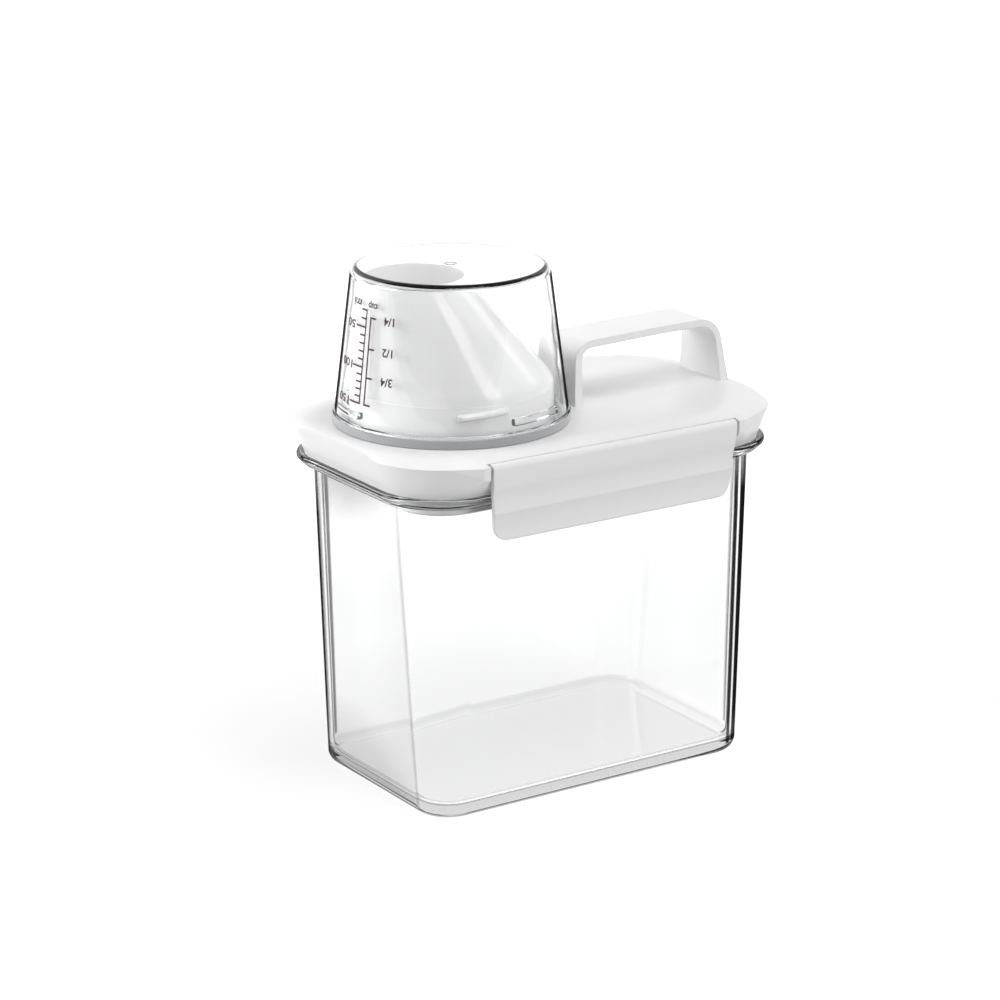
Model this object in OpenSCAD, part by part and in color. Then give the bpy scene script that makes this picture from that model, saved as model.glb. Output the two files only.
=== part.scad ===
// Dry-food container: a clear tapered box, a white lid with an arched handle and two side
// latches, a slanted pouring spout, and a clear measuring cup that covers the spout.
// X runs along the long side, with the cup at -X and the handle at +X. The front is -Y.
// The origin is the middle of the base, on the surface that the container stands on.

/* [Container] */
// Length of the base
base_l = 130; // [120:1:140]
// Width of the base
base_w = 80; // [74:1:84]
// Corner radius of the base
base_r = 13; // [9:1:18]
// Rounding between the base and the sides
foot_r = 4; // [2:0.5:6]
// Length of the body at its mouth
mouth_l = 140.4; // [136:0.2:170]
// Width of the body at its mouth
mouth_w = 84.4; // [84:0.2:110]
// Corner radius of the body at its mouth
mouth_r = 19.5; // [16:0.5:22]
// Height of the container to the top of its rim
body_h = 114; // [80:1:180]
// Thickness of the sides
wall = 2.2; // [1.6:0.1:2.6]
// Thickness of the base
floor_t = 4; // [2.5:0.5:6]

/* [Rim] */
// How far the rim stands out from the body
rim_out = 5.8; // [5.2:0.1:7]
// Height of the rim's outer band
rim_band = 2.8; // [2.2:0.1:3.6]
// Height of the lip that surrounds the lid's lower edge
lip_h = 1; // [0.6:0.1:1.4]

/* [Lid] */
// Height of the lid from its lower edge to its top
lid_h = 13.7; // [13:0.1:18]
// How far the lid's lower edge lies outside the body
lid_seat = 2.9; // [2.6:0.1:3.2]
// How far the lid's sides lean out towards the top
lid_lean = 4.1; // [3.6:0.1:4.4]
// How far the lid's long edges lie below the middle of its top
lid_crown = 2.3; // [1.6:0.1:2.6]
// Thickness of the lid's top
lid_t = 2.2; // [1.6:0.1:2.6]
// Thickness of the lid's skirt
skirt_t = 2; // [1.6:0.1:2.2]
// Depth of the plug that goes into the mouth
plug_h = 7; // [6:0.1:14]
// Thickness of the plug's wall
plug_t = 2; // [1.8:0.1:2.6]
// Thickness of the plate that closes the lid from below
plate_t = 2; // [1.5:0.1:2.4]

/* [Handle] */
// Height of the handle above the lid
handle_h = 22.4; // [20:0.2:34]
// Thickness of the handle's strap
strap_t = 2.5; // [2:0.1:3.4]
// Width of the strap along its top
strap_w = 19.6; // [15:0.2:24]
// Width of the handle's feet
foot_w = 24.4; // [21:0.1:32]
// Distance from the cup's flange to the handle
handle_gap = 1.7; // [1:0.1:6]
// Distance from the handle to the end of the lid
handle_inset = 2.8; // [2.4:0.1:9]

/* [Latches] */
// Length of a latch along the lid
latch_l = 98; // [84:1:98]
// Length of a latch below its hinge
latch_drop = 25; // [22:0.1:32]
// Thickness of a latch
latch_t = 1.8; // [1.5:0.1:2]
// How far a latch leans in from its hinge to its lower edge
latch_lean = 1.9; // [1:0.1:2.2]
// Depth of the two finger grooves across a latch
groove_depth = 0.6; // [0.3:0.1:0.8]
// Radius of a latch's lower corners
latch_corner_r = 5.5; // [3:0.5:9]
// How deep the hook reaches under the rim
hook_reach = 2.3; // [1.8:0.1:2.6]
// Radius of the hinge barrel
barrel_r = 1.8; // [1.6:0.05:1.9]
// Radius of the hinge pin
pin_r = 0.8; // [0.6:0.05:0.9]
// How deep the pin goes into the lid at each end of a latch
pin_grip = 3; // [2:0.1:4]

/* [Measuring cup] */
// Outer radius of the cup at its mouth
cup_mouth_r = 39.3; // [37:0.1:40.5]
// Outer radius of the cup at its closed end
cup_end_r = 33.6; // [32:0.1:35.5]
// Height of the cup
cup_h = 49.6; // [44:0.2:70]
// Thickness of the cup's side
cup_t = 1.3; // [1.1:0.1:1.8]
// Thickness of the cup's closed end
cup_end_t = 1.6; // [1.2:0.1:2.4]
// Rounding around the closed end
cup_edge_r = 3; // [2:0.25:4]
// How far the cup's flange stands out
flange_out = 0.7; // [0.4:0.1:1.2]
// Thickness of the cup's flange
flange_t = 1; // [0.8:0.1:1.8]
// Distance from the cup's flange to the end of the lid
cup_margin = 4.8; // [4:0.1:9]
// Height of the soft ring under the cup
ring_h = 3.2; // [2.2:0.1:4]
// Width of the soft ring
ring_w = 3; // [2:0.1:3.4]

/* [Quick thread] */
// How many threads hold the cup
thread_count = 3; // [2:1:3]
// Angle that one thread covers
thread_angle = 26; // [22:1:50]
// Rise of a thread from its low end to its high end
thread_rise = 1.4; // [1:0.1:2.4]
// Height of a thread's section
thread_h = 2.3; // [1.6:0.1:2.6]
// Angle that one lug of the cup covers
lug_angle = 33; // [20:1:40]
// How far a lug reaches inwards
lug_reach = 2.4; // [1.8:0.1:2.8]
// Overlap of lug and thread when the cup is locked
thread_bite = 0.7; // [0.4:0.1:1]

/* [Spout] */
// Thickness of the spout
spout_t = 1.8; // [1.4:0.1:2.2]
// Thickness of the spout at its opening
tip_t = 1; // [0.8:0.1:1.6]
// Outer radius of the spout's opening
tip_r = 17.3; // [14:0.1:18]
// Height of the straight collar above the lid
collar_h = 12.6; // [12:0.1:16]
// Height of the rounded shoulder above the collar
shoulder_h = 4.2; // [2:0.1:6]
// Gap between the spout's opening and the cup's end
tip_gap = 1.5; // [1.2:0.1:8]

/* [Hidden] */

$fn = 96;
LOFT_FN = 48;
SPOUT_FN = 64;
SLAB = 0.01;

// Clearances
seat_gap = 0.3;
lip_gap = 0.4;
rim_gap = 1.7;
slide_gap = 0.3;
pin_gap = 0.05;
press_gap = 0.02;
barrel_gap = 0.08;
ring_gap = 0.1;
part_gap = 0.2;
bay_gap = 0.9;
tip_wall_gap = 0.3;

// Container
rim_shelf = 3.4;
rim_edge = 0.8;
seat_z = body_h - lip_h;
rim_low_z = body_h - rim_band - (rim_out - rim_edge - rim_shelf) + rim_edge / 2;
ring_sink = 1;

// Lid
lid_z = seat_z + seat_gap;
lid_top = lid_z + lid_h;
lid_l = mouth_l + 2 * (lid_seat + lid_lean);
lid_w = mouth_w + 2 * (lid_seat + lid_lean);
lid_r = mouth_r + lid_seat + lid_lean;
cavity_top = lid_top - lid_t;
plate_z = lid_z;
plate_top = plate_z + plate_t;
plate_out = lid_seat - skirt_t - part_gap;
plug_out = -wall - 1.4;
plug_z = plate_z - plug_h;
gasket_groove = 1;
gasket_h = 2.6;
gasket_z = plug_z + 0.3 * plug_h;
mouth_lean = max(mouth_l - base_l, mouth_w - base_w) / 2 / body_h;
gasket_out = -wall - mouth_lean * (body_h - gasket_z) - slide_gap;

// Latches
latch_out = rim_out + rim_gap + latch_t;
pivot_out = latch_out - barrel_r;
pivot_z = lid_top - 0.75 * lid_crown - barrel_r;
latch_in = latch_out - latch_t;
latch_low_z = pivot_z - latch_drop;
groove_top_z = pivot_z - 0.24 * latch_drop;
groove_mid_z = pivot_z - 0.606 * latch_drop;
hinge_land = pivot_out - 1;
bay_l = latch_l + 2 * bay_gap;
shoulder_r = 2;
shoulder_out = latch_out - 0.2;
shoulder_low = 3;
hook_tip = rim_out - hook_reach;
hook_slack = 0.42;
hook_l = latch_l - 2 * 12;
latch_taper = 1.4;
pin_l = bay_l + 2 * pin_grip;

// Measuring cup and its ring
flange_r = cup_mouth_r + flange_out;
cup_x = -lid_l / 2 + cup_margin + flange_r;
ring_z = lid_top + ring_gap;
cup_z = ring_z + ring_h + ring_gap;
cup_top = cup_z + cup_h;
cup_wall_z = cup_z + flange_t;
lug_h = 2.3;
lug_z = cup_wall_z + 1.2;

// Spout
cup_inner_r = cup_mouth_r - cup_t;
lug_r = cup_inner_r - lug_reach;
lug_gap = 1.2;
collar_r = lug_r - lug_gap;
thread_r = collar_r + lug_gap + thread_bite;
thread_z = lug_z + lug_h + thread_h / 2 + 0.15;
thread_start = -118;
lug_slack = 2.6;
lug_start = thread_start + thread_angle + lug_slack;
collar_top = lid_top + collar_h;
tip_z = cup_top - cup_end_t - tip_gap;
tip_x = cup_x - cup_r(tip_z) + cup_t + tip_wall_gap + tip_r;
spout_flange_r = collar_r + 3.5;
spout_flange_t = 2.2;
seal_t = 2;
spout_z = plate_top + seal_t;
pour_r = collar_r - spout_t - 0.7;
funnel_step = 0.15;
socket_t = 1.8;
socket_h = 4.2;
post_r = 3;
post_inset = 13;

// Handle
handle_x0 = cup_x + flange_r + handle_gap;
handle_x1 = lid_l / 2 - handle_inset;
handle_top = lid_top + handle_h;
handle_lean = 1.9;
rear_lean = 1.6;
front_bend_r = 7;
rear_bend_r = 9;
crown = 0.8;
foot_extra = 0.9;
foot_sink = 1;

clear = [0.82, 0.9, 0.94, 0.4];
white = [0.95, 0.95, 0.94];
silicone = [0.72, 0.74, 0.75];
steel = [0.7, 0.71, 0.73];

// Outer radius of the cup's wall at height z
function cup_r(z) =
    cup_mouth_r + (cup_end_r - cup_mouth_r) * (z - cup_wall_z) / (cup_top - cup_edge_r - cup_wall_z);

// How far the latch has leaned in at height z
function lean_at(z) = latch_lean * (pivot_z - z) / latch_drop;

// Points of an arc about c, from angle a0 to angle a1
function arc(c, r, a0, a1, steps = 8) =
    [for (i = [0:steps]) let (a = a0 + (a1 - a0) * i / steps) c + r * [cos(a), sin(a)]];

// Size of the tapered body at height z: length, width and corner radius
function body_at(z) = [
    base_l + (mouth_l - base_l) * z / body_h,
    base_w + (mouth_w - base_w) * z / body_h,
    base_r + (mouth_r - base_r) * z / body_h
];

// A thin rounded plate at height z, used as one level of a loft
module level(size, inset, z) {
    r = size[2] - inset;
    for (sx = [-1, 1], sy = [-1, 1])
        translate([sx * (size[0] / 2 - size[2]), sy * (size[1] / 2 - size[2]), z])
            cylinder(r = r, h = SLAB, $fn = LOFT_FN);
}

// A rounded rectangle that lies out from the mouth's outline on every side
module mouth_plate(out) {
    l = mouth_l + 2 * out;
    w = mouth_w + 2 * out;
    r = mouth_r + out;
    square([l - 2 * r, w], center = true);
    square([l, w - 2 * r], center = true);
    for (sx = [-1, 1], sy = [-1, 1])
        translate([sx * (l / 2 - r), sy * (w / 2 - r)]) circle(r = r);
}

// Carries a section round the mouth: its x is the distance out, its y the height
module round_mouth() {
    run_x = mouth_l / 2 - mouth_r;
    run_y = mouth_w / 2 - mouth_r;
    for (side = [0, 180]) {
        rotate(side) translate([mouth_l / 2, run_y, 0]) rotate([90, 0, 0])
            linear_extrude(2 * run_y) children();
        rotate(side + 90) translate([mouth_w / 2, run_x, 0]) rotate([90, 0, 0])
            linear_extrude(2 * run_x) children();
    }
    for (corner = [[1, 1, 0], [-1, 1, 90], [-1, -1, 180], [1, -1, 270]])
        translate([corner[0] * run_x, corner[1] * run_y, 0]) rotate(corner[2])
            rotate_extrude(angle = 90) translate([mouth_r, 0]) children();
}

// Extrudes a section along X at the front: its x is the distance out from the body
module along_front(length) {
    translate([length / 2, -mouth_w / 2, 0]) rotate([90, 0, -90])
        linear_extrude(length) children();
}

// A rod along X at the hinge axis of the front latch
module hinge_rod(r, x0, x1) {
    translate([x0, -mouth_w / 2 - pivot_out, pivot_z]) rotate([0, 90, 0])
        cylinder(r = r, h = x1 - x0, $fn = 48);
}

// Section of the rim: sloped below for the hooks, with a lip round the lid's edge
module rim_section() {
    lip_in = lid_seat + lip_gap;
    polygon(concat(
        [[-ring_sink, seat_z], [-ring_sink, rim_low_z], [rim_shelf, rim_low_z]],
        [[rim_out - rim_edge, body_h - rim_band + rim_edge / 2]],
        [[rim_out, body_h - rim_band + rim_edge]],
        arc([rim_out - rim_edge, body_h - rim_edge], rim_edge, 0, 90, 3),
        [[lip_in + 0.4, body_h], [lip_in, body_h - 0.4], [lip_in, seat_z]]
    ));
}

// Levels of the rounded foot of the box, or of the hollow inside it
module foot_levels(z, inset) {
    for (a = [0:22.5:90])
        level(body_at(z + foot_r * (1 - cos(a))), inset + foot_r * (1 - sin(a)),
              z + foot_r * (1 - cos(a)));
}

module container() {
    color(clear) difference() {
        union() {
            hull() {
                foot_levels(0, 0);
                level(body_at(seat_z), 0, seat_z - SLAB);
            }
            round_mouth() rim_section();
        }
        hull() {
            foot_levels(floor_t, wall);
            level(body_at(body_h + 1), wall, body_h + 1);
        }
    }
}

// Outline of the handle seen from the front, with legs that lean and bends of radius r
module handle_outline(inset) {
    foot = inset > 0 ? inset + foot_extra : 0;
    low = lid_top - foot_sink;
    front = [handle_x0 + handle_lean + front_bend_r, handle_top - crown - front_bend_r];
    rear = [handle_x1 - rear_lean - rear_bend_r, handle_top - rear_bend_r];
    polygon(concat(
        [[handle_x0 + foot, low]],
        arc(front, front_bend_r - inset, 180, 93),
        [[(front[0] + 2 * rear[0]) / 3, handle_top - inset]],
        arc(rear, rear_bend_r - inset, 90, 0),
        [[handle_x1 - foot, low]]
    ));
}

// Arched handle: a strap that widens towards its feet
module handle() {
    bend_z = handle_top - front_bend_r;
    intersection() {
        translate([0, foot_w / 2, 0]) rotate([90, 0, 0]) linear_extrude(foot_w)
            difference() {
                handle_outline(0);
                handle_outline(strap_t);
            }
        translate([handle_x0 - 1, 0, 0]) rotate([90, 0, 90])
            linear_extrude(handle_x1 - handle_x0 + 2) polygon([
                [-foot_w / 2, lid_top - foot_sink], [foot_w / 2, lid_top - foot_sink],
                [foot_w / 2, lid_top], [strap_w / 2, bend_z], [strap_w / 2, handle_top + 1],
                [-strap_w / 2, handle_top + 1], [-strap_w / 2, bend_z], [-foot_w / 2, lid_top]
            ]);
    }
}

// Posts inside the lid that stand on the closing plate, where the two are welded
module weld_posts() {
    for (sx = [-1, 1], sy = [-1, 1])
        translate([sx * (lid_l / 2 - post_inset), sy * (lid_w / 2 - post_inset), plate_top])
            cylinder(r = post_r, h = cavity_top - plate_top + 1);
}

// Four round shoulders at the ends of the latches, where the lid holds the hinge pins
module shoulders(inset, z) {
    for (sx = [-1, 1], sy = [-1, 1])
        translate([sx * (bay_l / 2 + shoulder_r),
                   sy * (mouth_w / 2 + shoulder_out - shoulder_r - inset), z])
            cylinder(r = shoulder_r, h = SLAB, $fn = LOFT_FN);
}

// One level of the lid's crowned top: smaller than the lid's outline at the ends and sides
module lid_level(ends, sides, z) {
    level([lid_l - 2 * ends, lid_w - 2 * sides, lid_r], 0, z);
    shoulders(sides, z);
}

// The lid's top and skirt, before the hinges and the handle are added
module lid_shell() {
    size = [lid_l, lid_w, lid_r];
    crown_levels = [[1, 0, 0], [0.72, 0, 2.6], [0.42, 0, 5], [0.16, 0.8, 8], [0, 3.5, 11.5]];
    difference() {
        hull() {
            level(size, lid_lean, lid_z);
            shoulders(0.1, pivot_z - shoulder_low);
            for (l = crown_levels) lid_level(l[1], l[2], lid_top - l[0] * lid_crown - SLAB);
        }
        hull() {
            level(size, lid_lean + skirt_t, lid_z - 1);
            level(size, skirt_t + 1.4, cavity_top - 1.6);
            level([lid_l - 10, lid_w - 19, lid_r], 0, cavity_top - SLAB);
        }
    }
}

// Bay for one latch: a cut behind the latch, with a groove in which its barrel turns
module latch_bay() {
    along_front(bay_l) translate([hinge_land, lid_z - 1]) square([10, lid_h + 2]);
    hinge_rod(barrel_r + barrel_gap, -bay_l / 2, bay_l / 2);
    hinge_rod(pin_r + press_gap, -pin_l / 2 - 0.2, pin_l / 2 + 0.2);
}

module lid_cover() {
    color(white) difference() {
        union() {
            difference() {
                lid_shell();
                for (turn = [0, 180]) rotate(turn) latch_bay();
            }
            weld_posts();
            handle();
        }
        translate([cup_x, 0, cavity_top - 1]) cylinder(r = collar_r + part_gap, h = lid_t + 2);
    }
}

// Plug wall with the groove that holds the gasket
module plug_section() {
    polygon([
        [plug_out, plate_z + 1], [plug_out, gasket_z + gasket_h],
        [plug_out - gasket_groove, gasket_z + gasket_h], [plug_out - gasket_groove, gasket_z],
        [plug_out, gasket_z], [plug_out, plug_z + 0.6], [plug_out - 0.6, plug_z],
        [plug_out - plug_t, plug_z], [plug_out - plug_t, plate_z + 1]
    ]);
}

module lid_base() {
    color(white) difference() {
        union() {
            translate([0, 0, plate_z]) linear_extrude(plate_t) mouth_plate(plate_out);
            round_mouth() plug_section();
            translate([cup_x, 0, plate_top - 0.5])
                cylinder(r = collar_r + part_gap + socket_t, h = socket_h + 0.5);
        }
        translate([cup_x, 0, plate_z - 1]) cylinder(r = pour_r, h = plate_t + socket_h + 2);
        translate([cup_x, 0, plate_top]) cylinder(r = collar_r + part_gap, h = socket_h + 1);
    }
}

// Gasket with two lips that press on the inside of the mouth
module lid_gasket() {
    root = plug_out - gasket_groove + ring_gap;
    low = gasket_z + ring_gap;
    high = gasket_z + gasket_h - ring_gap;
    lip = (high - low) / 3;
    color(silicone) round_mouth() polygon([
        [root, low], [plug_out, low], [gasket_out, low + 0.3], [gasket_out, low + 0.8],
        [plug_out, low + lip], [plug_out, high - lip], [gasket_out, high - 0.8],
        [gasket_out, high - 0.3], [plug_out, high], [root, high]
    ]);
}

// A disc of the spout's loft
module spout_level(x, r, z) {
    translate([x, 0, z]) rotate(180 / SPOUT_FN) cylinder(r = r, h = SLAB, $fn = SPOUT_FN);
}

// The slanted funnel, outside or inside, from the collar to the round opening
module funnel(inset, tip_inset, top_z) {
    lean = (tip_x - cup_x) / (tip_z - collar_top);
    waist = collar_r - 0.055 * shoulder_h * shoulder_h;
    hull() {
        spout_level(cup_x, collar_r - inset, collar_top - 0.5);
        spout_level(cup_x + 0.1 * lean * shoulder_h, (3 * collar_r + waist) / 4 - inset,
                    collar_top + shoulder_h / 2);
        spout_level(cup_x + 0.5 * lean * shoulder_h, waist - inset, collar_top + shoulder_h);
        spout_level(tip_x, tip_r - tip_inset, top_z);
    }
}

// One thread of the collar: a short piece of ring, tipped so that it climbs
module thread_rib() {
    sink = 0.6;
    reach = thread_r - collar_r;
    tilt = atan(thread_rise / 2 / (thread_r * sin(thread_angle / 2)));
    rotate(thread_start + thread_angle / 2)
        translate([0, 0, thread_z + thread_rise / 2]) rotate([tilt, 0, 0]) {
            rotate(-thread_angle / 2) rotate_extrude(angle = thread_angle)
                translate([collar_r, 0]) polygon([
                    [-sink, -thread_h / 2], [0.3 * reach, -thread_h / 2],
                    [reach, -0.2 * thread_h], [reach, 0.2 * thread_h],
                    [0.3 * reach, thread_h / 2], [-sink, thread_h / 2]
                ]);
            for (side = [-1, 1]) rotate(side * thread_angle / 2)
                translate([collar_r - sink, 0, 0]) rotate([0, 90, 0])
                    cylinder(r = thread_h / 2 - 0.1, h = sink + 0.8 * reach, $fn = 32);
        }
}

module spout() {
    color(white) difference() {
        union() {
            translate([cup_x, 0, spout_z]) cylinder(r = collar_r, h = collar_top - spout_z);
            translate([cup_x, 0, cavity_top - spout_flange_t])
                cylinder(r = spout_flange_r, h = spout_flange_t);
            funnel(funnel_step, funnel_step, tip_z - SLAB);
            for (i = [0:thread_count - 1])
                translate([cup_x, 0, 0]) rotate(i * 360 / thread_count) thread_rib();
        }
        translate([cup_x, 0, spout_z - 1])
            cylinder(r = collar_r - spout_t, h = collar_top - spout_z + 0.8);
        funnel(spout_t + funnel_step, tip_t + funnel_step, tip_z + 1);
    }
}

// Flat ring between the spout and the closing plate
module spout_seal() {
    color(silicone) translate([cup_x, 0, plate_top]) difference() {
        cylinder(r = collar_r + part_gap / 2, h = seal_t);
        translate([0, 0, -1]) cylinder(r = pour_r + part_gap, h = seal_t + 2);
    }
}

// One lug on the inside of the cup's mouth
module lug() {
    rotate(lug_start) rotate_extrude(angle = lug_angle)
        translate([lug_r, lug_z]) polygon([
            [0, 0.4], [0.4, 0], [lug_reach + 0.4, 0],
            [lug_reach + 0.4, lug_h], [0.4, lug_h], [0, lug_h - 0.4]
        ]);
}

module cup() {
    inner_edge_r = 0.4 * cup_edge_r;
    edge_z = cup_top - cup_edge_r;
    inner_top = cup_top - cup_end_t;
    color(clear) translate([cup_x, 0, 0]) {
        rotate_extrude() polygon(concat(
            [[cup_inner_r, cup_z], [flange_r, cup_z], [flange_r, cup_wall_z - 0.3]],
            [[flange_r - 0.3, cup_wall_z], [cup_mouth_r, cup_wall_z]],
            arc([cup_end_r - cup_edge_r, edge_z], cup_edge_r, 0, 90),
            [[2.2, cup_top], [2, cup_top - 0.2], [1.6, cup_top - 0.2], [1.4, cup_top]],
            [[0, cup_top], [0, inner_top]],
            arc([cup_end_r - cup_t - inner_edge_r, inner_top - inner_edge_r], inner_edge_r, 90, 0)
        ));
        for (i = [0:thread_count - 1]) rotate(i * 360 / thread_count) lug();
    }
}

// Soft ring on which the cup closes
module cup_seal() {
    color(silicone) translate([cup_x, 0, ring_z]) rotate_extrude() polygon([
        [flange_r - ring_w, 0], [flange_r - 0.3, 0], [flange_r, 0.3],
        [flange_r, ring_h - 0.3], [flange_r - 0.3, ring_h], [flange_r - ring_w, ring_h]
    ]);
}

// Section of a latch's plate: flat at the top, with two finger grooves below
module plate_section() {
    edge = 0.5;
    low_out = latch_out - latch_lean;
    function groove(z0, z1) = [for (i = [1:6]) let (t = i / 6, z = z0 + (z1 - z0) * t)
        [latch_out - lean_at(z) - groove_depth * 4 * t * (1 - t), z]];
    polygon(concat(
        [[latch_out, pivot_z], [latch_out - lean_at(groove_top_z), groove_top_z]],
        groove(groove_top_z, groove_mid_z),
        groove(groove_mid_z, latch_low_z + edge),
        [[low_out - edge, latch_low_z], [low_out - latch_t + edge, latch_low_z]],
        [[low_out - latch_t, latch_low_z + edge], [latch_in, pivot_z]]
    ));
}

// Section of a latch's hook, whose upper side follows the slope under the rim
module hook_section() {
    rim_slope_z = body_h - rim_band + rim_edge / 2 - (rim_out - rim_edge);
    hook_z = rim_slope_z + hook_tip - hook_slack;
    hook_top_z = rim_slope_z + latch_in - hook_slack;
    root = latch_out - latch_lean - latch_t / 2;
    polygon([
        [root, hook_z - 3.4], [hook_tip + 1, hook_z - 1.4], [hook_tip, hook_z - 0.6],
        [hook_tip, hook_z], [latch_in, hook_top_z], [latch_in, hook_z - 2.4]
    ]);
}

// Outline of a latch seen from outside, with round lower corners
module latch_outline() {
    half = latch_l / 2;
    corner_x = half - latch_taper - latch_corner_r;
    hull() {
        for (side = [-1, 1])
            translate([side * corner_x, latch_low_z + latch_corner_r])
                circle(r = latch_corner_r, $fn = 64);
        translate([-half, pivot_z - 2]) square([latch_l, 2 + 2 * barrel_r]);
    }
}

module latch_front() {
    color(white) difference() {
        intersection() {
            union() {
                along_front(latch_l) plate_section();
                along_front(hook_l) hook_section();
                hinge_rod(barrel_r, -latch_l / 2, latch_l / 2);
            }
            translate([0, -mouth_w / 2 + wall, 0]) rotate([90, 0, 0])
                linear_extrude(latch_out + wall + 1) latch_outline();
        }
        hinge_rod(pin_r + pin_gap, -latch_l / 2 - 1, latch_l / 2 + 1);
    }
}

module latch_back() {
    rotate(180) latch_front();
}

module hinge_pin_front() {
    color(steel) hinge_rod(pin_r, -pin_l / 2, pin_l / 2);
}

module hinge_pin_back() {
    rotate(180) hinge_pin_front();
}

container();
lid_cover();
lid_base();
lid_gasket();
spout();
spout_seal();
cup();
cup_seal();
latch_front();
latch_back();
hinge_pin_front();
hinge_pin_back();
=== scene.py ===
import bmesh
import bpy
import math
import numpy as np
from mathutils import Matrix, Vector


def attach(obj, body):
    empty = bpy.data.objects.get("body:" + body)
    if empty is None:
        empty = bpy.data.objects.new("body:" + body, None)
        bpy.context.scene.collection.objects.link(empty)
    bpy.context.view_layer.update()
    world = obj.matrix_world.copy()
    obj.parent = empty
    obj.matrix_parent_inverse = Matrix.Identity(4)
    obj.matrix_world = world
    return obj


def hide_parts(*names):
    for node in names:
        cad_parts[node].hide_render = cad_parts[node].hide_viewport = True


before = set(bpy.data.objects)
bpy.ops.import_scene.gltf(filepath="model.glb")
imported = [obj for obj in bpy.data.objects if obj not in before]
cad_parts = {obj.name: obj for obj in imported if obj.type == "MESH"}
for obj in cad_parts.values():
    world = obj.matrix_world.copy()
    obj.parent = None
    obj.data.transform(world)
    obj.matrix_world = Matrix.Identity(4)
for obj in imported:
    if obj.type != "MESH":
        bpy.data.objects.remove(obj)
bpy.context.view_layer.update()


# ---------------------------------------------------------------------------
# Studio. A white sheet that lies on the table and runs up behind it, four soft
# lamps round the box, and the camera at the photograph's angle. The sheet is
# white to the camera and through clear plastic, and keeps the box's shadow.
# ---------------------------------------------------------------------------
COLOUR_A, COLOUR_B, COLOUR_OUT = 6, 7, 2    # sockets of a Mix node that mixes colours


class Tone:
    """A shader value that arithmetic can be done on: each operator adds a Math node."""

    def __init__(self, finish, socket):
        self.finish = finish
        self.socket = socket

    def math(self, operation, *values, clamp=False):
        settings = {"operation": operation, "use_clamp": clamp}
        return self.finish.node("ShaderNodeMath", settings, dict(enumerate(values)))

    def __add__(self, other):
        return self.math("ADD", self, other)

    __radd__ = __add__

    def __mul__(self, other):
        return self.math("MULTIPLY", self, other)

    __rmul__ = __mul__

    def __sub__(self, other):
        return self.math("SUBTRACT", self, other)

    def __rsub__(self, other):
        return self.math("SUBTRACT", other, self)

    def __truediv__(self, other):
        return self.math("DIVIDE", self, other)

    def __pow__(self, other):
        return self.math("POWER", self, other)

    def __abs__(self):
        return self.math("ABSOLUTE", self)

    def clamped(self):
        return self.math("ADD", self, 0.0, clamp=True)


class Finish:
    """A material in the making. node() adds one node of any type: its settings, such as an
    operation or a ramp's stops, are set first, and then the values or links of its sockets."""

    def __init__(self, name):
        self.material = bpy.data.materials.new(name)
        self.material.use_nodes = True
        self.tree = self.material.node_tree
        self.tree.nodes.clear()

    def node(self, kind, settings=None, sockets=None, out=0):
        made = self.tree.nodes.new(kind)
        for key, value in (settings or {}).items():
            if key == "stops":
                ramp = made.color_ramp
                while len(ramp.elements) < len(value):
                    ramp.elements.new(0.5)
                for element, (place, shade) in zip(ramp.elements, value):
                    element.position = place
                    element.color = (shade, shade, shade, 1.0)
            else:
                setattr(made, key, value)
        for key, value in (sockets or {}).items():
            if isinstance(value, Tone):
                self.tree.links.new(value.socket, made.inputs[key])
            else:
                made.inputs[key].default_value = value
        return Tone(self, made.outputs[out])

    def surface(self, shader):
        output = self.tree.nodes.new("ShaderNodeOutputMaterial")
        self.tree.links.new(shader.socket, output.inputs["Surface"])
        return self.material

    def split(self, which):
        """The x, y and z of the Texture Coordinate node's Object or Normal."""
        vector = self.node("ShaderNodeTexCoord", {}, {}, which)
        return [self.node("ShaderNodeSeparateXYZ", {}, {0: vector}, i) for i in range(3)]

    def noise(self, scale, detail=3.0):
        place = self.node("ShaderNodeTexCoord", {}, {}, "Object")
        sockets = {"Vector": place, "Scale": scale, "Detail": detail}
        return self.node("ShaderNodeTexNoise", {}, sockets)

    def mix(self, share, one, other):
        sockets = {"Factor": share, COLOUR_A: one, COLOUR_B: other}
        return self.node("ShaderNodeMix", {"data_type": "RGBA"}, sockets, COLOUR_OUT)

    def blend(self, share, one, other):
        return self.node("ShaderNodeMixShader", {}, {0: share, 1: one, 2: other})


PAPER_LIT = (0.66, 0.66, 0.66, 1)
PAPER_SEEN = (0.42, 0.42, 0.42, 1)
GLOW_NEAR = 0.64        # the glow at the box, and what it gains on the way out
GLOW_GAIN = 0.4
GLOW_START = 0.2        # metres from the box's middle
GLOW_SPAN = 0.25


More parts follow.
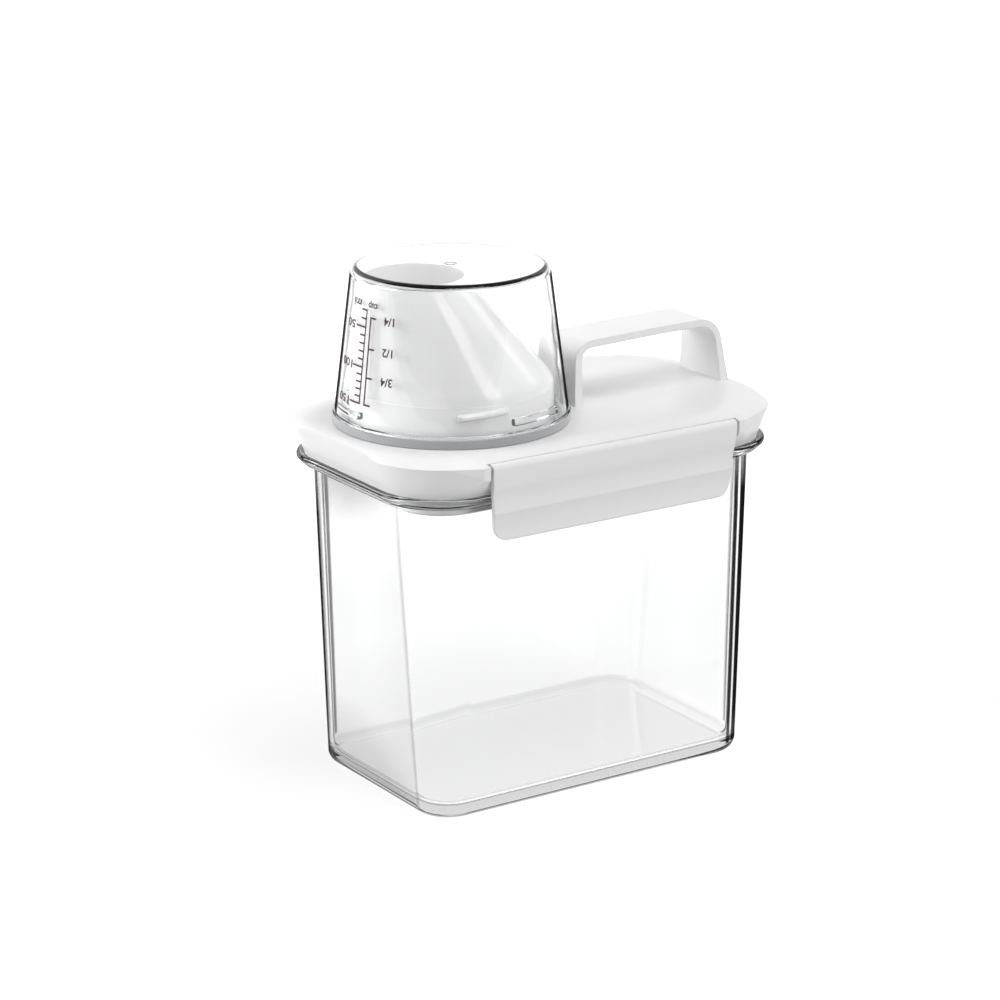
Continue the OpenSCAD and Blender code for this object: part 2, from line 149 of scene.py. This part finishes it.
def paper_white():
    """Diffuse white for the light. To the camera, in reflections and through clear plastic
    it is a paler diffuse with a glow that reaches full white away from the box. Light that
    a diffuse surface has scattered sees the plain white, also through clear plastic."""
    finish = Finish("paper_white")
    rays = [finish.node("ShaderNodeLightPath", {}, {}, kind)
            for kind in ("Is Camera Ray", "Is Glossy Ray", "Is Transmission Ray")]
    lit = finish.node("ShaderNodeLightPath", {}, {}, "Diffuse Depth")
    seen = (rays[0] + rays[1] + rays[2]).clamped() * (1.0 - lit).clamped()
    x, y, z = finish.split("Object")
    away = ((x * x + y * y + z * z) ** 0.5 - GLOW_START) / GLOW_SPAN
    glow = GLOW_NEAR + GLOW_GAIN * away.clamped()
    shade = finish.node("ShaderNodeBsdfDiffuse", {}, {"Color": PAPER_SEEN})
    white = finish.node("ShaderNodeEmission", {}, {"Color": (1, 1, 1, 1), "Strength": glow})
    paper = finish.node("ShaderNodeAddShader", {}, {0: shade, 1: white})
    plain = finish.node("ShaderNodeBsdfDiffuse", {}, {"Color": PAPER_LIT})
    return finish.surface(finish.blend(seen, plain, paper))


def link(name, data):
    """A new object for a mesh, lamp or camera, put into the scene at the origin."""
    made = bpy.data.objects.new(name, data)
    bpy.context.scene.collection.objects.link(made)
    return made


def paper_sheet():
    """The sheet's y and z follow a straight floor, a quarter circle and a straight wall,
    and are carried straight along x."""
    bend, far, high, half = 0.8, 1.6, 3.0, 4.0
    turn = np.linspace(0, math.pi / 2, 17)
    y = np.concatenate([[-4.0], far + bend * np.sin(turn), [far + bend]])
    z = np.concatenate([[0.0], bend * (1 - np.cos(turn)), [high]])
    points = np.stack([np.tile([-half, half], len(y)), np.repeat(y, 2), np.repeat(z, 2)], 1)
    i = np.arange(len(y) - 1) * 2
    faces = np.stack([i, i + 1, i + 3, i + 2], 1)
    mesh = bpy.data.meshes.new("paper_sheet")
    mesh.from_pydata(points.tolist(), [], faces.tolist())
    return link("paper_sheet", mesh)


paper = paper_sheet()
paper.data.materials.append(paper_white())


LAMP_TARGET = (0, 0, 0.12)
ROOM_LIGHT = 0.27
FOCAL_LENGTH = 125.47
SENSOR_WIDTH = 36
SHIFT = (-0.0475, 0.0099)
CAMERA_PLACE = (-0.6355, -0.9549, 0.4426)
CAMERA_TARGET = (0.004197, -0.003242, 0.089014)


def aim(thing, place, target):
    """Moves a lamp or the camera to place and turns its -Z axis towards target."""
    thing.location = place
    thing.rotation_euler = (Vector(target) - Vector(place)).to_track_quat("-Z", "Y").to_euler()


def soft_lamp(name, place, width, height, power):
    """A rectangular lamp that hangs at place and shines at the box."""
    light = bpy.data.lights.new(name, "AREA")
    light.shape = "RECTANGLE"
    light.size = width
    light.size_y = height
    light.energy = power
    aim(link(name, light), place, LAMP_TARGET)


soft_lamp("lamp_left_behind", (-1.35, 0.60, 0.70), 0.9, 0.9, 17)
soft_lamp("lamp_right_behind", (1.40, 0.10, 1.05), 0.8, 0.8, 3.5)
soft_lamp("lamp_front_strip", (0.36, -1.25, 0.72), 0.45, 1.0, 5.4)
soft_lamp("lamp_top", (0.10, -0.45, 1.50), 0.8, 0.8, 8)
room = bpy.data.worlds.new("room")
room.use_nodes = True
room.node_tree.nodes["Background"].inputs["Color"].default_value = (1, 1, 1, 1)
room.node_tree.nodes["Background"].inputs["Strength"].default_value = ROOM_LIGHT
bpy.context.scene.world = room

lens = bpy.data.cameras.new("camera")
lens.sensor_width = SENSOR_WIDTH
lens.lens = FOCAL_LENGTH
lens.shift_x, lens.shift_y = SHIFT
camera = link("camera", lens)
aim(camera, CAMERA_PLACE, CAMERA_TARGET)
bpy.context.scene.camera = camera
bpy.context.scene.view_settings.view_transform = "Standard"


# ---------------------------------------------------------------------------
# Container. One clear box, injection moulded in AS plastic: it widens a little
# towards the mouth, and its rim is a solid rounded bead with a lip round the lid.
# ---------------------------------------------------------------------------
BASE = np.array([130, 80, 13]) / 1000
MOUTH = np.array([140.4, 84.4, 19.5]) / 1000
BODY_H = 0.114
WALL = 0.0022
FLOOR_T = 0.004
FOOT_R = 0.004
BEAD_OUT = 0.0046       # middle of the bead's round edge, out from the wall
BEAD_R = 0.0012
UNDER_R = 0.001         # hollow fillet between the wall and the bead's underside
UNDER_DROP = 0.005
LIP_H = 0.001
LIP_R = 0.0003
CORNER_POINTS = 25


def arc(x, z, radius, first, last, steps=10):
    """Points (out, z) of a circle about x, z, from one angle in degrees to another."""
    turn = np.radians(np.linspace(first, last, steps + 1))
    return np.stack([x + radius * np.cos(turn), z + radius * np.sin(turn)], 1)


def box_section():
    """The wall cut from the middle of the foot, up the outside, round the rim's bead, over
    the lid's seat and down the inside to the floor: distance out from the box's outline and
    height, one row each."""
    bead = arc(BEAD_OUT, BODY_H - BEAD_R, BEAD_R, -45, 90, 12)
    return np.concatenate([
        arc(-FOOT_R, FOOT_R, FOOT_R, -90, 0),
        [[0, 0.03], [0, 0.06], [0, 0.09]],
        arc(UNDER_R, BODY_H - UNDER_DROP, UNDER_R, 180, 90, 6),
        [[0.0031, BODY_H - 0.004], [0.0036, BODY_H - 0.0038]],
        bead,
        arc(0.0036, BODY_H - LIP_R, LIP_R, 90, 180, 4),
        [[0.0033, BODY_H - 0.00095], [0.0031, BODY_H - LIP_H], [0.0, BODY_H - LIP_H]],
        arc(0.0004 - WALL, BODY_H - 0.0014, 0.0004, 90, 180, 4),
        [[-WALL, 0.09], [-WALL, 0.06], [-WALL, 0.03]],
        arc(-WALL - FOOT_R, FLOOR_T + FOOT_R, FOOT_R, 0, -90),
    ])


def carried_round(section):
    """Each point of the section runs round a rounded rectangle. At height z the rectangle's
    length, width and corner radius lie between the base's and the mouth's, and the point
    keeps its distance out from it: corner centre plus (radius + out) times (cos, sin)."""
    out, z = section[:, :1], section[:, 1:]
    size = BASE + (MOUTH - BASE) * np.clip(z / BODY_H, 0, 1)
    quarters = [np.linspace(a, a + 90, CORNER_POINTS) for a in (0, 90, 180, 270)]
    turn = np.radians(np.concatenate(quarters))
    side_x = np.repeat([1, -1, -1, 1], CORNER_POINTS)
    side_y = np.repeat([1, 1, -1, -1], CORNER_POINTS)
    radius = size[:, 2:] + out
    x = side_x * (size[:, :1] / 2 - size[:, 2:]) + radius * np.cos(turn)
    y = side_y * (size[:, 1:2] / 2 - size[:, 2:]) + radius * np.sin(turn)
    return np.stack([x, y, np.broadcast_to(z, x.shape)], -1)


def closed_shell(name, rings):
    """Quads between neighbouring rings of points, and a flat face in the first and last."""
    rows, around = rings.shape[:2]
    at = np.arange(rows * around).reshape(rows, around)
    after = np.roll(at, -1, axis=1)
    quads = np.stack([at[:-1], after[:-1], after[1:], at[1:]], -1).reshape(-1, 4)
    mesh = bpy.data.meshes.new(name)
    faces = quads.tolist() + [at[0][::-1].tolist(), at[-1].tolist()]
    mesh.from_pydata(rings.reshape(-1, 3).tolist(), [], faces)
    mesh.shade_smooth()
    mesh.set_sharp_from_angle(angle=math.radians(40))
    return link(name, mesh)


CLEAR_TINT = (0.985, 0.987, 0.987, 1)
# painted shade: the near-black colour mixed into clear plastic where its edges are seen edge-on
PAINTED_EDGE_SHADE = (0.012, 0.012, 0.013, 1)
SHADOW_TINT = (0.97, 0.97, 0.97, 1)
LIGHT_THROUGH = 0.9


def clear_plastic(name, paint_edge_shade):
    """Clear plastic that refracts. Where the given function says, a near-black diffuse is mixed
    in: painted shade that stands in for the dark reflections and refractions of rounded edges
    seen edge-on."""
    finish = Finish(name)
    facing = finish.node("ShaderNodeLayerWeight", {}, {"Blend": 0.5}, "Facing")
    # how much painted edge shade is mixed in, from the facing value
    dark = paint_edge_shade(finish, facing)
    clear = finish.node("ShaderNodeBsdfPrincipled", {}, {
        "Base Color": CLEAR_TINT, "IOR": 1.47, "Transmission Weight": 1.0,
        "Roughness": 0.01 + 0.015 * finish.noise(40.0),
    })
    edge = finish.node("ShaderNodeBsdfDiffuse", {}, {"Color": PAINTED_EDGE_SHADE})
    body = finish.blend(dark.clamped(), clear, edge)
    shadow = finish.node("ShaderNodeLightPath", {}, {}, "Is Shadow Ray")
    through = finish.node("ShaderNodeBsdfTransparent", {}, {"Color": SHADOW_TINT})
    return finish.surface(finish.blend(shadow * LIGHT_THROUGH, body, through))


# Where the painted shade turns dark (1) or stays clear (0) along the facing value, as the stops
# of a colour ramp
CORNER_PAINTED_LINES = [(0.40, 0), (0.45, 0.95), (0.52, 0.95), (0.55, 0.05), (0.59, 0.05),
                (0.62, 1), (1, 1)]
BEAD_PAINTED_LINES = [(0.52, 0), (0.545, 1), (0.585, 1), (0.62, 0.08), (0.73, 0.12), (0.76, 0.9),
              (0.79, 0.9), (0.82, 0.25), (0.92, 0.3), (0.96, 1)]
# painted shade: the grey added at the edge of the box's thick floor
FLOOR_PAINTED_GREY = 0.14


def box_edges(finish, facing):
    """Painted shade for the clear box, standing in for the dark reflections and refractions at
    its edges: two dark lines with a light one between them in the upright corners, several finer
    ones in the rim's bead and the foot, and a little grey in the thick floor's edge."""
    x, y, z = finish.split("Normal")
    height = finish.split("Object")[2]
    upright = (4.0 * abs(x * y)).clamped()
    tilted = (8.0 * (abs(z) * (1.0 - abs(z)) - 0.04)).clamped()
    corner = finish.node("ShaderNodeValToRGB", {"stops": CORNER_PAINTED_LINES}, {"Fac": facing})
    bead = finish.node("ShaderNodeValToRGB", {"stops": BEAD_PAINTED_LINES}, {"Fac": facing})
    floor_edge = (9.0 - 1500.0 * height).clamped() * (1.0 - abs(z))
    return corner * upright * (1.0 - tilted) + bead * tilted + FLOOR_PAINTED_GREY * floor_edge


container = closed_shell("container_shell", carried_round(box_section()))
container.data.materials.append(clear_plastic("clear_body", box_edges))
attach(container, "container")
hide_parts("container")


# ---------------------------------------------------------------------------
# Lid cover with its arched handle, lid base and gasket. Two mouldings in white PP,
# welded on four posts, and a silicone ring in the groove of the base's plug wall.
# ---------------------------------------------------------------------------
JOIN_WITHIN = 1e-6      # metres
SHARP_ABOVE = 32        # degrees between two faces


def joined_copy(name, sharp):
    """A copy of a CAD node with its loose triangles joined, smooth but for its real edges,
    with normals that follow the larger faces."""
    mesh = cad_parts[name].data.copy()
    mesh.name = name + "_skin"
    work = bmesh.new()
    work.from_mesh(mesh)
    bmesh.ops.remove_doubles(work, verts=work.verts, dist=JOIN_WITHIN)
    work.to_mesh(mesh)
    work.free()
    mesh.materials.clear()
    if mesh.has_custom_normals:
        mesh.attributes.remove(mesh.attributes["custom_normal"])
    mesh.shade_smooth()
    mesh.set_sharp_from_angle(angle=math.radians(sharp))
    piece = link(name + "_skin", mesh)
    weighted = piece.modifiers.new("weighted", "WEIGHTED_NORMAL")
    weighted.keep_sharp = True
    return piece


def stands_for(name, body, material, sharp=SHARP_ABOVE):
    """Puts the joined copy of a CAD node in its place, on its body and in its finish."""
    piece = joined_copy(name, sharp)
    piece.data.materials.append(material)
    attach(piece, body)
    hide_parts(name)


def white_plastic(name, shade, gloss, softness=0.0006):
    """Moulded white plastic: a faint unevenness of colour and gloss, a fine grain, and
    edges that are rounded by softness."""
    finish = Finish(name)
    dark = [0.975 * c for c in shade]
    colour = finish.mix(finish.noise(30.0), (*dark, 1), (*shade, 1))
    soft = finish.node("ShaderNodeBevel", {"samples": 6}, {"Radius": softness})
    bump = finish.node("ShaderNodeBump", {}, {
        "Strength": 0.05, "Distance": 0.0001, "Height": finish.noise(2500.0, 2.0), "Normal": soft,
    })
    return finish.surface(finish.node("ShaderNodeBsdfPrincipled", {}, {
        "Base Color": colour, "Roughness": gloss + 0.08 * finish.noise(90.0), "IOR": 1.49,
        "Normal": bump,
    }))


def silicone(name, light, deep, gloss):
    """Soft translucent rubber with a painted sheen: its colour is deeper where it is seen flat on
    and lighter where it is seen edge-on, with a random cloud of tone.
    """
    finish = Finish(name)
    facing = finish.node("ShaderNodeLayerWeight", {}, {"Blend": 0.5}, "Facing")
    # painted sheen: lighter where the surface is seen edge-on, mixed with a random cloud of tone
    painted_sheen_and_cloud = (0.7 * facing + 0.3 * finish.noise(60.0)).clamped()
    return finish.surface(finish.node("ShaderNodeBsdfPrincipled", {}, {
        "Base Color": finish.mix(painted_sheen_and_cloud, (*deep, 1), (*light, 1)),
        "Roughness": gloss + 0.1 * finish.noise(120.0), "IOR": 1.41,
    }))


LID_WHITE = (0.90, 0.90, 0.90)
lid_finish = white_plastic("white_lid", LID_WHITE, 0.26)
stands_for("lid_cover", "lid", lid_finish)
stands_for("lid_base", "lid", white_plastic("white_base", LID_WHITE, 0.3, 0.0003))
gasket_finish = silicone("gasket", (0.80, 0.81, 0.81), (0.70, 0.71, 0.72), 0.45)
stands_for("lid_gasket", "lid", gasket_finish)


# ---------------------------------------------------------------------------
# Latches and their pins. Each latch is a flap of white PP with two finger grooves and
# a hook inside. It turns on a drawn steel wire that is held in the lid at both ends.
# ---------------------------------------------------------------------------
def drawn_wire():
    """Steel with fine lines along its length: noise that is stretched along x."""
    finish = Finish("drawn_wire")
    place = finish.node("ShaderNodeTexCoord", {}, {}, "Object")
    along = finish.node("ShaderNodeMapping", {}, {"Vector": place, "Scale": (0.02, 1, 1)})
    lines = finish.node("ShaderNodeTexNoise", {}, {"Vector": along, "Scale": 6000.0})
    return finish.surface(finish.node("ShaderNodeBsdfPrincipled", {}, {
        "Base Color": (0.62, 0.62, 0.63, 1), "Metallic": 1.0, "Roughness": 0.2 + 0.25 * lines,
    }))


latch_finish = white_plastic("white_latch", LID_WHITE, 0.28, 0.0005)
pin_finish = drawn_wire()
for side in ("front", "back"):
    stands_for("latch_" + side, "latch_" + side, latch_finish, 20)
    stands_for("hinge_pin_" + side, "lid", pin_finish)


# ---------------------------------------------------------------------------
# Spout. One glossy white PP moulding, pushed up through the lid from below: a round
# collar with three quick threads, and a slanted funnel. A flat silicone ring seals it.
# ---------------------------------------------------------------------------
SPOUT_WHITE = (0.80, 0.80, 0.805)
spout_finish = white_plastic("white_spout", SPOUT_WHITE, 0.08, 0.0004)
stands_for("spout", "lid", spout_finish, 28)
stands_for("spout_seal", "lid", gasket_finish)


# ---------------------------------------------------------------------------
# Cup seal. A ring of grey translucent silicone that lies on the lid, and on which the
# cup closes.
# ---------------------------------------------------------------------------
ring_finish = silicone("ring", (0.60, 0.61, 0.62), (0.31, 0.32, 0.33), 0.15)
stands_for("cup_seal", "ring", ring_finish)


# ---------------------------------------------------------------------------
# Measuring cup. Clear AS plastic, turned over on the spout: a tapered wall, a flange
# and three lugs at the mouth. Its scale is printed on the outside in dark ink.
# ---------------------------------------------------------------------------
CUP_X = -0.0324
CUP_WALL_Z = 0.1314
CUP_EDGE_Z = 0.177
CUP_TOP_Z = 0.18
CUP_INSIDE_TOP = 0.1784
CUP_MOUTH_R = 0.0393
CUP_END_R = 0.0336
CUP_FLAT_R = 0.0306
CUP_T = 0.0013
# painted shade on the cup: ramp stops for its dark edge lines, and the grey of the painted line
# round its flat end
WALL_PAINTED_LINES = [(0.76, 0), (0.81, 0.97), (1, 1)]
TOP_PAINTED_GREY = 0.4


def cup_edges(finish, facing):
    """Painted shade for the clear cup, standing in for the dark reflections and refractions at
    its edges: dark where the upright wall is seen edge-on, and a thin grey line where the flat
    end turns into its rounded edge."""
    z = finish.split("Normal")[2]
    x, y, height = finish.split("Object")
    wall = finish.node("ShaderNodeValToRGB", {"stops": WALL_PAINTED_LINES}, {"Fac": facing})
    out = ((x - CUP_X) * (x - CUP_X) + y * y) ** 0.5
    beyond_flat = (3000.0 * (out - CUP_FLAT_R - 0.0002)).clamped()
    near_top = (2500.0 * (height - CUP_TOP_Z) + 1.6).clamped()
    line = beyond_flat * near_top
    return wall * (1.5 - 3.0 * abs(z)).clamped() + TOP_PAINTED_GREY * line


stands_for("cup", "cup", clear_plastic("clear_cup", cup_edges))

INK_LIFT = 0.00002
INK_T = 0.00005
LINE_W = 0.0006
LETTER_BOLD = 0.00008
LETTER_H = 0.0027
SIZE_FOR_HEIGHT = 1.4   # a font's size over the height of its figures


def cup_r(z):
    """The outer radius of the straight, tapered wall at height z."""
    return CUP_MOUTH_R + (CUP_END_R - CUP_MOUTH_R) * (z - CUP_WALL_Z) / (CUP_EDGE_Z - CUP_WALL_Z)


def height_of(millilitres):
    """Where the cup's contents stand: its inside is summed up in thin discs from the closed
    end, and the height at which the sum reaches the given volume is looked up."""
    z = np.linspace(CUP_INSIDE_TOP, CUP_WALL_Z, 400)
    disc = math.pi * (cup_r(z) - CUP_T) ** 2 * (z[0] - z[1])
    return np.interp(millilitres * 1e-6, np.cumsum(disc) - disc[0], z)


def on_cup(angle, z, lift):
    """A point at an angle in degrees and a height lies at the cup's radius plus lift."""
    radius = cup_r(z) + INK_LIFT + lift
    turn = np.radians(angle)
    return np.stack([CUP_X + radius * np.cos(turn), radius * np.sin(turn), z], -1)


def ink_bar(a0, a1, z0, z1):
    """A thin closed block between two angles and two heights: a grid of points on the cup
    for its outer face, the same grid without the ink's thickness for its inner face."""
    angle, z = np.meshgrid(np.linspace(a0, a1, 5), np.linspace(z0, z1, 3))
    outer, inner = on_cup(angle, z, INK_T), on_cup(angle, z, 0)
    edge = np.concatenate([outer[0], outer[1:, -1], outer[-1, -2::-1], outer[-2:0:-1, 0]])
    below = np.concatenate([inner[0], inner[1:, -1], inner[-1, -2::-1], inner[-2:0:-1, 0]])
    return np.stack([below, edge])


marks = []


def collect(points, faces):
    """Adds points and faces to the scale, the faces numbered on from the points before."""
    start = sum(len(p) for p, _ in marks)
    marks.append((points, [[start + i for i in face] for face in faces]))


def draw_bar(a0, a1, z0, z1):
    """Adds the block of ink between two angles and two heights, with its side faces."""
    rings = ink_bar(a0, a1, z0, z1)
    count = rings.shape[1]
    sides = [[i, (i + 1) % count, count + (i + 1) % count, count + i] for i in range(count)]
    caps = [list(range(count))[::-1], list(range(count, 2 * count))]
    collect(rings.reshape(-1, 3), sides + caps)


def draw_words(words, angle, z, height=LETTER_H, stretch=1.0):
    """Flat letters bent round the cup, upside down as the cup is: to the right in the
    letters is back along the angle, and up is down along z."""
    curve = bpy.data.curves.new("letters", "FONT")
    curve.body = words
    curve.size = height * SIZE_FOR_HEIGHT
    curve.extrude = INK_T / 2
    curve.offset = LETTER_BOLD
    curve.align_x = "CENTER"
    curve.align_y = "CENTER"
    sign = link("letters", curve)
    mesh = bpy.data.meshes.new_from_object(sign)
    flat = np.empty(len(mesh.vertices) * 3)
    mesh.vertices.foreach_get("co", flat)
    x, y, lift = flat.reshape(-1, 3).T
    turned = angle - np.degrees(stretch * x / cup_r(z))
    collect(on_cup(turned, z - y, lift + INK_T / 2), [list(p.vertices) for p in mesh.polygons])
    bpy.data.objects.remove(sign)
    bpy.data.meshes.remove(mesh)


def draw_scale(angle, side, values, long_ones, short, long):
    """An upright line with a tick for each volume, on one side of it."""
    half = math.degrees(LINE_W / 2 / CUP_END_R)
    top, low = height_of(values[0]), height_of(values[-1])
    draw_bar(angle - half, angle + half, low - LINE_W / 2, top + LINE_W / 2)
    for value in values:
        reach = side * (long if value in long_ones else short)
        ends = sorted([angle + side * half, angle + reach])
        draw_bar(*ends, height_of(value) - LINE_W / 2, height_of(value) + LINE_W / 2)


# Angles round the cup, in degrees, of each scale's line, its figures and its unit
ML_LINE, ML_FIGURES, ML_UNIT = 185.5, 170.5, 175.5
PART_LINE, PART_FIGURES, PART_UNIT = 189.2, 203.0, 190.0
UNIT_Z = 0.1712
FIGURED = (50, 100, 150)
PARTS = (("1/4", 37.5), ("1/2", 75), ("3/4", 112.5))

draw_scale(ML_LINE, -1, np.arange(30, 151, 10), FIGURED, 4.6, 9.0)
for value in FIGURED:
    draw_words(str(value), ML_FIGURES, float(height_of(value)), stretch=1.6)
draw_words("ml", ML_UNIT, UNIT_Z, stretch=1.4)
draw_scale(PART_LINE, 1, np.array([37.5, 75, 112.5, 150]), (), 4.2, 4.2)
for words, value in PARTS:
    draw_words(words, PART_FIGURES, float(height_of(value)))
draw_words("cup", PART_UNIT, UNIT_Z, 0.0022)

ink = Finish("scale_ink")
ink_shade = ink.mix(ink.noise(900.0), (0.030, 0.006, 0.007, 1), (0.050, 0.012, 0.012, 1))
ink.surface(ink.node("ShaderNodeBsdfPrincipled", {}, {
    "Base Color": ink_shade, "Roughness": 0.45 + 0.1 * ink.noise(300.0),
}))
scale_mesh = bpy.data.meshes.new("cup_scale")
scale_mesh.from_pydata(
    np.concatenate([p for p, _ in marks]).tolist(), [], [f for _, faces in marks for f in faces])
scale_mesh.materials.append(ink.material)
cup_scale = link("cup_scale", scale_mesh)
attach(cup_scale, "cup")
